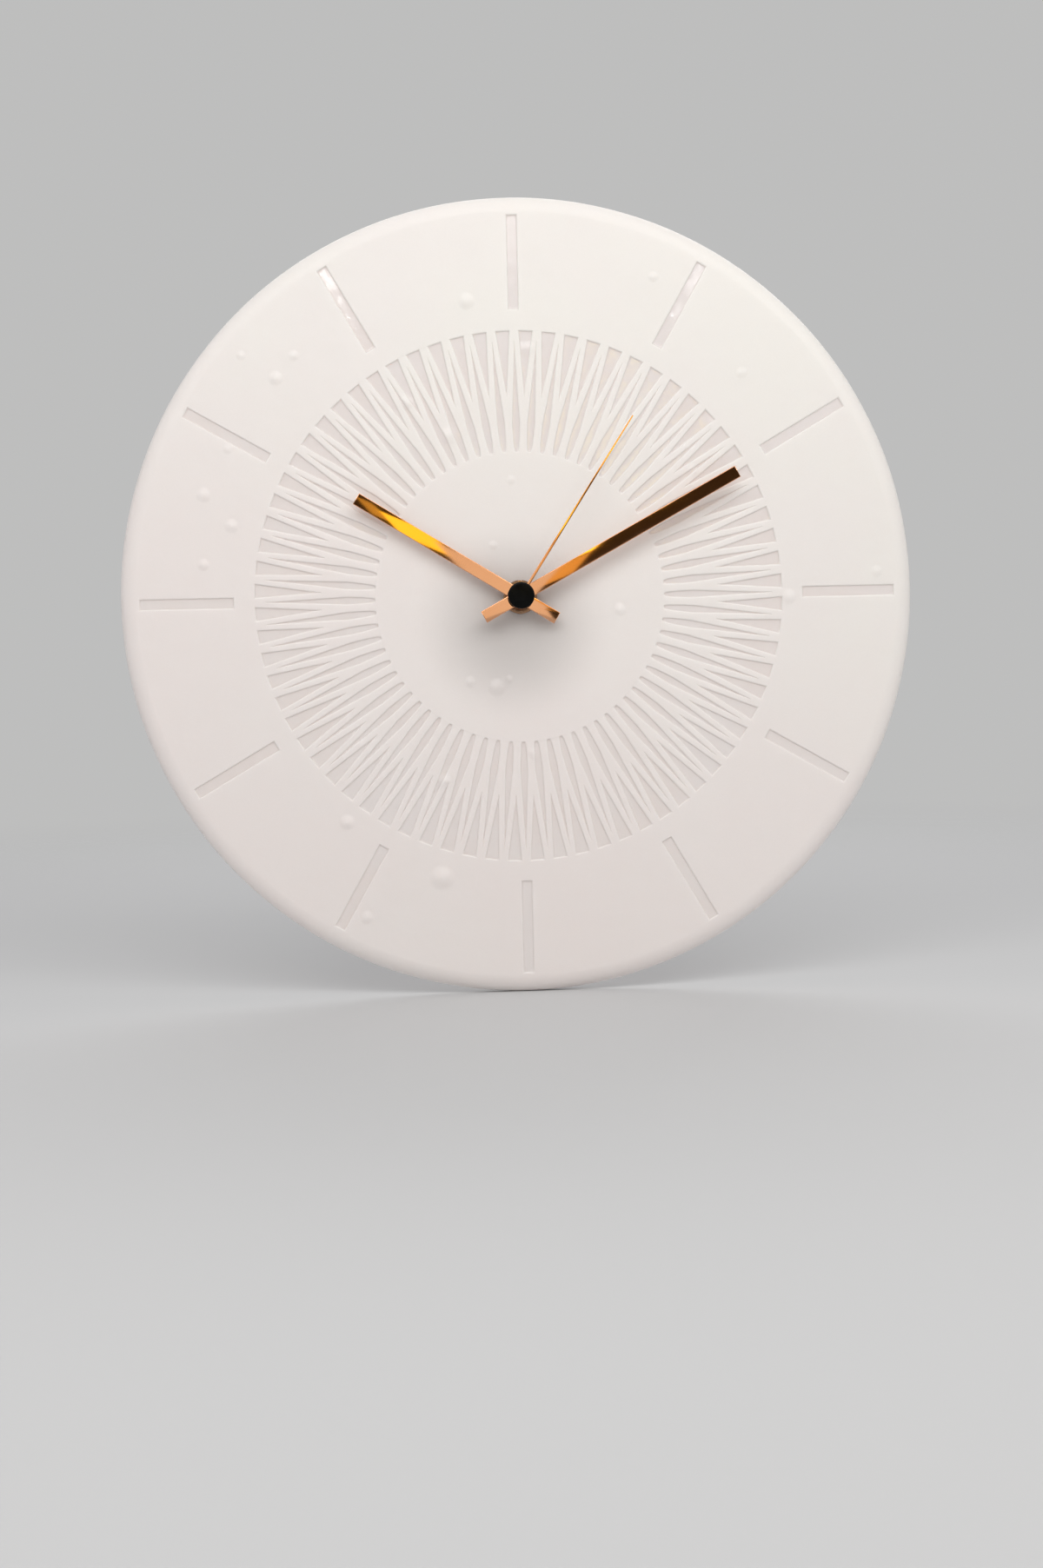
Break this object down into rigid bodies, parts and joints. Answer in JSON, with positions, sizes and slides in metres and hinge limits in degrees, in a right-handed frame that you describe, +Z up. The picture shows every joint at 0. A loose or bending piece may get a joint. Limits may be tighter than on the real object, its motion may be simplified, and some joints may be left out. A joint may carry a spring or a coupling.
{
  "type": "wall clock",
  "caption": "Round satin white glass wall clock: thick disc with cut hour marks and a cut leaf ring, copper baton hands, battery movement and hanger plate behind.",
  "frame": {"origin": "on the shaft axis, in the plane of the wall that the back cover rests on", "axes": "+Y into the wall, dial faces -Y, +Z up to twelve o'clock, +X to three o'clock"},
  "size_m": [0.3, 0.0373, 0.3],
  "materials": {
    "white_glass": "satin white glass, glossy in the cut pockets",
    "copper": "polished copper plate",
    "black_cap": "glossy black",
    "brass": "machined brass",
    "rubber": "matt black",
    "steel": "zinc plated",
    "case_black": "fine matt black",
    "wheel_white": "moulded, ivory",
    "wheel_red": "moulded, red",
    "magnet": "dark sintered",
    "silicon_steel": "stamped sheet",
    "bobbin": "moulded, natural",
    "wire": "enamelled copper wire",
    "board": "phenolic board",
    "chip": "black resin",
    "can": "plated can",
    "contact": "nickel plated bronze",
    "battery_shell": "plain blue sleeve, steel ends"
  },
  "bodies": {
    "clock": {"glass_disc": "white_glass", "round_nut": "brass", "dial_washer": "brass", "rubber_pad": "rubber", "hanger_plate": "steel", "front_case": "case_black", "back_cover": "case_black", "wheel_bridge": "wheel_white", "stator": "silicon_steel", "coil_core": "silicon_steel", "coil_bobbin": "bobbin", "coil_winding": "wire", "circuit_board": "board", "timing_chip": "chip", "quartz_crystal": "can", "plus_contact": "contact", "minus_contact": "contact"},
    "second": {"second_wheel": "wheel_white", "second_hand": "copper", "second_cap": "black_cap"},
    "minute": {"minute_pipe": "brass", "minute_hand": "copper"},
    "hour": {"hour_wheel": "wheel_white", "hour_hand": "copper"},
    "rotor": {"rotor_pinion": "wheel_white", "rotor_magnet": "magnet"},
    "intermediate": {"intermediate_wheel": "wheel_white"},
    "third": {"third_wheel": "wheel_white"},
    "centre": {"centre_wheel": "wheel_white"},
    "motion": {"motion_wheel": "wheel_white"},
    "knob": {"setting_knob": "wheel_red"},
    "battery": {"battery": "battery_shell"}
  },
  "joints": [
    {"name": "second_spin", "type": "hinge", "parent": "clock", "child": "second", "pos_m": [0, 0, 0], "axis": [0, 1, 0], "continuous": true},
    {"name": "intermediate_spin", "type": "hinge", "parent": "clock", "child": "intermediate", "pos_m": [0.00525, 0, 0.00909], "axis": [0, 1, 0], "continuous": true},
    {"name": "rotor_spin", "type": "hinge", "parent": "clock", "child": "rotor", "pos_m": [0.00062, 0, 0.01461], "axis": [0, 1, 0], "continuous": true},
    {"name": "third_spin", "type": "hinge", "parent": "clock", "child": "third", "pos_m": [-0.0102, 0, 0], "axis": [0, 1, 0], "continuous": true},
    {"name": "centre_spin", "type": "hinge", "parent": "clock", "child": "centre", "pos_m": [0, 0, 0], "axis": [0, 1, 0], "continuous": true},
    {"name": "minute_spin", "type": "hinge", "parent": "clock", "child": "minute", "pos_m": [0, 0, 0], "axis": [0, 1, 0], "continuous": true},
    {"name": "motion_spin", "type": "hinge", "parent": "clock", "child": "motion", "pos_m": [0.0084, 0, 0], "axis": [0, 1, 0], "continuous": true},
    {"name": "hour_spin", "type": "hinge", "parent": "clock", "child": "hour", "pos_m": [0, 0, 0], "axis": [0, 1, 0], "continuous": true},
    {"name": "knob_spin", "type": "hinge", "parent": "clock", "child": "knob", "pos_m": [0.01629, 0, 0.00287], "axis": [0, 1, 0], "continuous": true},
    {"name": "battery_slide", "type": "slide", "parent": "clock", "child": "battery", "axis": [0, 1, 0], "range_m": [0, 0.02]}
  ],
  "couplings": [
    {"joint": "intermediate_spin", "follows": "second_spin", "ratio": -6},
    {"joint": "rotor_spin", "follows": "second_spin", "ratio": 30},
    {"joint": "third_spin", "follows": "second_spin", "ratio": -0.13333},
    {"joint": "centre_spin", "follows": "second_spin", "ratio": 0.016667},
    {"joint": "motion_spin", "follows": "minute_spin", "ratio": -0.33333},
    {"joint": "hour_spin", "follows": "minute_spin", "ratio": 0.083333},
    {"joint": "knob_spin", "follows": "minute_spin", "ratio": 1}
  ]
}
